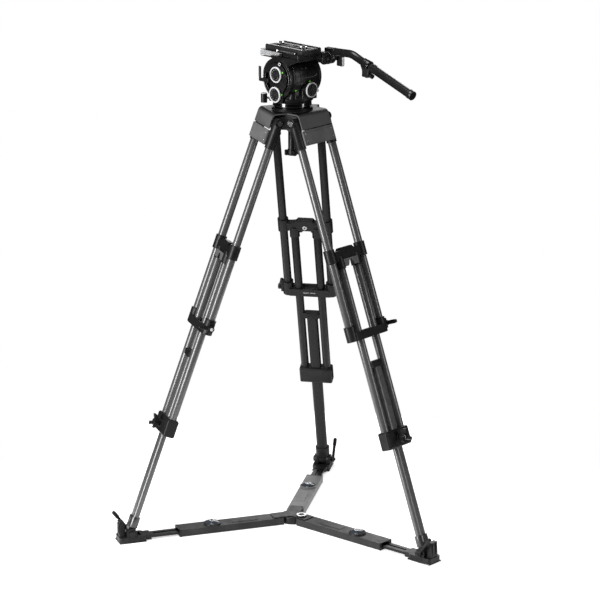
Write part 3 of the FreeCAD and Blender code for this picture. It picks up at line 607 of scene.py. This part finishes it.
def name_plate(leg):
    """Blank name plate on the outer side of the leg yoke, with its border."""
    body = "upper_stage_" + leg
    frame_bars = [
        (block, (-63.9, -21.0, -69.4), (63.9, -15.8, -27.2)),
        (block, (-61, -21.7, -66.6), (61, -20.9, -63.9)),
        (block, (-61, -21.7, -32.6), (61, -20.9, -29.9)),
        (block, (-61, -21.7, -64), (-58.3, -20.9, -32)),
        (block, (58.3, -21.7, -64), (61, -20.9, -32)),
    ]
    make("name_plate_" + leg, LEG[leg], body, PANEL_GREY, frame_bars, 0.5)
    make("name_plate_rivets_" + leg, LEG[leg], body, SILVER, [
        dot(1.5, 0, 0.8, (x, -20.9, z), -Y) for x in (-54, 54) for z in (-37, -59)
    ], 0.1)
    knuckles = []
    for side in (-1, 1):
        knuckles.append(ring(7.8, 12.2, 0, 0.9, (side * 79.4, 0, 0), X * side))
    make("knuckle_rims_" + leg, LEG[leg], body, GLOSS, knuckles, 0.3)
    collars = [ring(12.2, 14.9, 0, 2.4, (side * UPPER_X, 0, -76.2), Z) for side in (-1, 1)]
    make("socket_lips_" + leg, LEG[leg], body, BLACK, collars, 0.6)


def middle_stage(leg):
    """Apron, covers, button and lips of the carriage, and the ribs of the lower clamp block."""
    body = "middle_stage_" + leg
    bottom = CARRIAGE_BOTTOM
    arch = [(-30, bottom + 4), (-30, bottom - 17), (-14, bottom - 17)]
    for i in range(9):
        angle = math.pi * (1 - i / 8)
        arch.append((9 * math.cos(angle), bottom - 9 + 9 * math.sin(angle)))
    arch += [(14, bottom - 17), (30, bottom - 17), (30, bottom + 4)]
    apron = [(prism, arch, "y", -15.6, -11.5)]
    make("carriage_apron_" + leg, LEG[leg], body, PANEL_GREY, apron, 1.0)
    hump = [
        (-52, -397), (52, -397), (52, -376), (28, -373),
        (22, -366), (-22, -366), (-28, -373), (-52, -376),
    ]
    for side, name in ((-1, "outer"), (1, "inner")):
        near, far = sorted((side * 9.2, side * 11.2))
        cover = [(prism, hump, "y", near, far)]
        make(f"carriage_{name}_cover_{leg}", LEG[leg], body, BLACK, cover, 1.6)
    button = [ring(2.4, 6.6, 0.2, 1.6, BUTTON, Y)]
    make("carriage_button_" + leg, LEG[leg], body, RING_WHITE, button, 0.3)
    centre = [dot(2.0, 0, 1.4, BUTTON, Y)]
    make("carriage_button_dot_" + leg, LEG[leg], body, BLACK, centre, 0.1)
    lips = []
    for side in (-1, 1):
        for z in (-404.2, -366.6):
            lips.append(ring(12.3, 15.9, 0, 2.2, (side * UPPER_X, 0, z), Z))
    for side in (-1, 1):
        lips.append(ring(11.8, 14.8, 0, 1.8, (side * MIDDLE_X, 0, -424.2), Z))
    make("carriage_lips_" + leg, LEG[leg], body, BLACK, lips, 0.5)
    ribs = []
    for side in (-1, 1):
        for z in (-940, -902):
            ribs.append((block, (side * 30 - 16, -17.8, z - 1), (side * 30 + 16, 17.8, z + 1)))
    make("lower_block_ribs_" + leg, LEG[leg], body, GLOSS, ribs, 0.7)


def upper_stage(leg):
    """Slits and lips of the upper clamp frame, the tab of its lever, and a white disc on the lever's hub
    that is a painted glint.
    """
    body = "upper_stage_" + leg
    make("frame_slits_" + leg, LEG[leg], body, RING_WHITE, [
        (block, (-18, 16.6, -615.6), (-1.6, 17.6, -614)),
        (block, (1.6, 16.6, -615.6), (18, 17.6, -614)),
    ], 0.3)
    lips = [ring(12.1, 16.4, 0, 2.6, (side * UPPER_X, 0, -587.2), Z) for side in (-1, 1)]
    make("frame_lips_" + leg, LEG[leg], body, BLACK, lips, 0.6)
    lever = "upper_lever_" + leg
    # Painted glint: a white disc on the end of the lever's hub stands in for a highlight.
    dome = [(0, 0), (4.6, 0), (4.6, 0.8), (2.6, 1.6), (0, 1.6)]
    cap = [(lathe, dome, Vector((94.8, 0, -606.35)), X)]
    make("frame_lever_painted_glint_" + leg, LEG[leg], lever, RING_WHITE, cap, 0.2)
    flare = [(-34, -612), (-24, -610), (-24, -602), (-34, -600.5), (-38, -603), (-38, -609.5)]
    tab = [(prism, flare, "x", 86.8, 94.8)]
    make("frame_lever_tab_" + leg, LEG[leg], lever, BLACK, tab, 1.0)


def lower_stage(leg):
    """Cap of the winged knob and cover of the lower tube's guide."""
    dome = [(0, 0), (8.6, 0), (8.6, 1.4), (5, 3.2), (0, 3.6)]
    cap = [(lathe, dome, Vector((0, -40.2, -921)), -Y)]
    make("wing_knob_cap_" + leg, LEG[leg], "lower_knob_" + leg, GLOSS, cap, 0.3)
    make("guide_cap_" + leg, LEG[leg], "lower_stage_" + leg, BLACK, [
        (block, (-20, -10.4, -713.4), (20, 10.4, -695)),
        (block, (-16.6, -11, -709), (16.6, 11, -699)),
    ], 1.2)


def foot(leg):
    """Bolts, post trim, sole and side ribs of a foot."""
    body = "foot_" + leg
    bolt = [(0, 0), (5, 0), (5, 3.4), (4.2, 4.2), (0, 4.2)]
    bolts = [(lathe, bolt, Vector((x, -498, 17.6)), Z) for x in (-15, 15)]
    make("foot_bolts_" + leg, ARM[leg], body, MATERIALS["bright_steel"], bolts, 0.2)
    ribs = [(block, (-9, -526.8, 24), (-5, -523, 58)), (block, (5, -526.8, 24), (9, -523, 58))]
    ribs.append((block, (-12.5, -525.2, 58.6), (12.5, -511.4, 62.2)))
    make("foot_post_trim_" + leg, ARM[leg], body, BLACK, ribs, 0.8)
    make("foot_pad_" + leg, ARM[leg], body, MATERIALS["grip_rubber"], [
        (block, (-27, -529, 0.2), (27, -449, 4)),
    ], 1.5)
    side_ribs = []
    for i in range(5):
        y = -500 + 9 * i
        side_ribs.append((block, (-27.2, y, 5), (-25.4, y + 3, 15)))
        side_ribs.append((block, (25.4, y, 5), (27.2, y + 3, 15)))
    make("foot_side_ribs_" + leg, ARM[leg], body, BLACK, side_ribs, 0.5)


def spreader(leg):
    """Trim of a lock button, a silver ring on its dome that is a painted glint, and the blank label and
    mouth of its sleeve.
    """
    paint = MATERIALS["spreader_grey"]
    collar = [(21.2, 0.6), (24.6, -0.4), (25, 0.4), (23, 1.6), (21.6, 1.6)]
    trim = [(lathe, collar, Vector((0, LOCK_Y, 25.2)), Z)]
    make("lock_trim_" + leg, ARM[leg], "spreader", paint, trim, 0.2)
    # Painted glint: a silver ring on top of the lock button's dome stands in for its highlight.
    make("lock_glint_" + leg, ARM[leg], "rail_lock_" + leg, SILVER, [
        ring(7.2, 9.0, -0.5, 1.2, (0, LOCK_Y, 31.6), Z),
    ], 0.4)
    label = [
        (block, (-14, -190, 21.6), (14, -110, 22.7)),
        (block, (-11.5, -186, 22.5), (11.5, -114, 23.2)),
    ]
    make("sleeve_label_" + leg, ARM[leg], "spreader", paint, label, 0.4)
    mouth = [
        (block, (-25, -350, 19), (25, -345, 22.8)),
        (block, (-25, -350, 1), (25, -345, 4.4)),
        (block, (-25.2, -350, 3), (-21, -345, 20)),
        (block, (21, -350, 3), (25.2, -345, 20)),
    ]
    make("sleeve_mouth_" + leg, ARM[leg], "spreader", BLACK, mouth, 0.6)


def hub():
    """Release button beside the arm of leg B."""
    rim = [ring(9, 14.8, 2.6, 4.4, HUB_BUTTON, Z)]
    make("hub_button_ring", ARM["b"], "spreader", SILVER, rim, 0.6)
    face = [dot(8, 2.4, 4.2, HUB_BUTTON, Z)]
    make("hub_button_face", ARM["b"], "spreader", BLACK, face, 0.4)


head_platform()
head_left_face()
head_rear()
neck()
pan_bar()
for leg in LEGS:
    name_plate(leg)
    upper_stage(leg)
    middle_stage(leg)
    lower_stage(leg)
    foot(leg)
    spreader(leg)
hub()


# ---------------------------------------------------------------- stage

# The stage is in metres and degrees.
FLOOR_R = 1.05
FADE_START = 0.6
FADE_END = 1.0
FLOOR_GLOW = (0.6, 0.95)
ROOM_LIGHT = 0.03
CAMERA_DROP = 15.667
CAMERA_TURN = -0.16


def floor():
    """A near-white disc that glows more towards its edge, so that it meets the white backdrop."""
    bpy.ops.mesh.primitive_circle_add(radius=FLOOR_R, vertices=128, fill_type="NGON", location=(0, 0, 0))
    plane = bpy.context.object
    plane.name = "floor"
    material, tree, shader = principled("floor_white", (0.9, 0.9, 0.9), 0.9)
    shader.inputs["Emission Color"].default_value = (1, 1, 1, 1)
    shader.inputs["Specular IOR Level"].default_value = 0.0
    place = tree.nodes.new("ShaderNodeTexCoord")
    reach = tree.nodes.new("ShaderNodeVectorMath")
    reach.operation = "LENGTH"
    brighter = tree.nodes.new("ShaderNodeMapRange")
    brighter.interpolation_type = "SMOOTHSTEP"
    brighter.inputs["From Min"].default_value = FADE_START
    brighter.inputs["From Max"].default_value = FADE_END
    brighter.inputs["To Min"].default_value = FLOOR_GLOW[0]
    brighter.inputs["To Max"].default_value = FLOOR_GLOW[1]
    tree.links.new(place.outputs["Object"], reach.inputs[0])
    tree.links.new(reach.outputs["Value"], brighter.inputs["Value"])
    tree.links.new(brighter.outputs["Result"], shader.inputs["Emission Strength"])
    tree.links.new(spread(tree, noise(tree, 3, 2), 0.85, 0.95), shader.inputs["Roughness"])
    plane.data.materials.append(material)


def area_light(name, location, target, size, power):
    data = bpy.data.lights.new(name, "AREA")
    data.shape = "RECTANGLE"
    data.size, data.size_y = size
    data.energy = power
    lamp = bpy.data.objects.new(name, data)
    lamp.location = location
    lamp.rotation_euler = (Vector(target) - Vector(location)).to_track_quat("-Z", "Y").to_euler()
    bpy.context.scene.collection.objects.link(lamp)


def world():
    """White where the camera sees it and nearly dark for the object, so that blacks stay black."""
    scene = bpy.context.scene
    scene.world = bpy.data.worlds.new("studio")
    scene.world.use_nodes = True
    tree = scene.world.node_tree
    sky = tree.nodes["Background"]
    sky.inputs["Color"].default_value = (1, 1, 1, 1)
    seen = tree.nodes.new("ShaderNodeLightPath")
    strength = tree.nodes.new("ShaderNodeMapRange")
    strength.inputs["To Min"].default_value = ROOM_LIGHT
    strength.inputs["To Max"].default_value = 1.0
    tree.links.new(seen.outputs["Is Camera Ray"], strength.inputs["Value"])
    tree.links.new(strength.outputs["Result"], sky.inputs["Strength"])
    scene.view_settings.view_transform = "Standard"


def camera():
    data = bpy.data.cameras.new("camera")
    data.lens = 171.33
    data.sensor_width = 36
    shot = bpy.data.objects.new("camera", data)
    shot.location = (-0.0005, -7.837, 2.8666)
    shot.rotation_euler = (math.radians(90 - CAMERA_DROP), 0, math.radians(CAMERA_TURN))
    bpy.context.scene.collection.objects.link(shot)
    bpy.context.scene.camera = shot


camera()
floor()
world()
area_light("key_left", (-2.9, -2.2, 1.3), (0, 0, 0.75), (0.9, 2.8), 210)
area_light("fill_right", (3.0, -1.2, 1.3), (0, 0, 0.75), (0.4, 2.8), 40)
area_light("top", (-0.5, -0.5, 4.0), (0, 0, 0.9), (2.4, 2.0), 85)
area_light("back", (0.6, 3.4, 2.0), (0, 0, 0.8), (2.0, 2.2), 40)
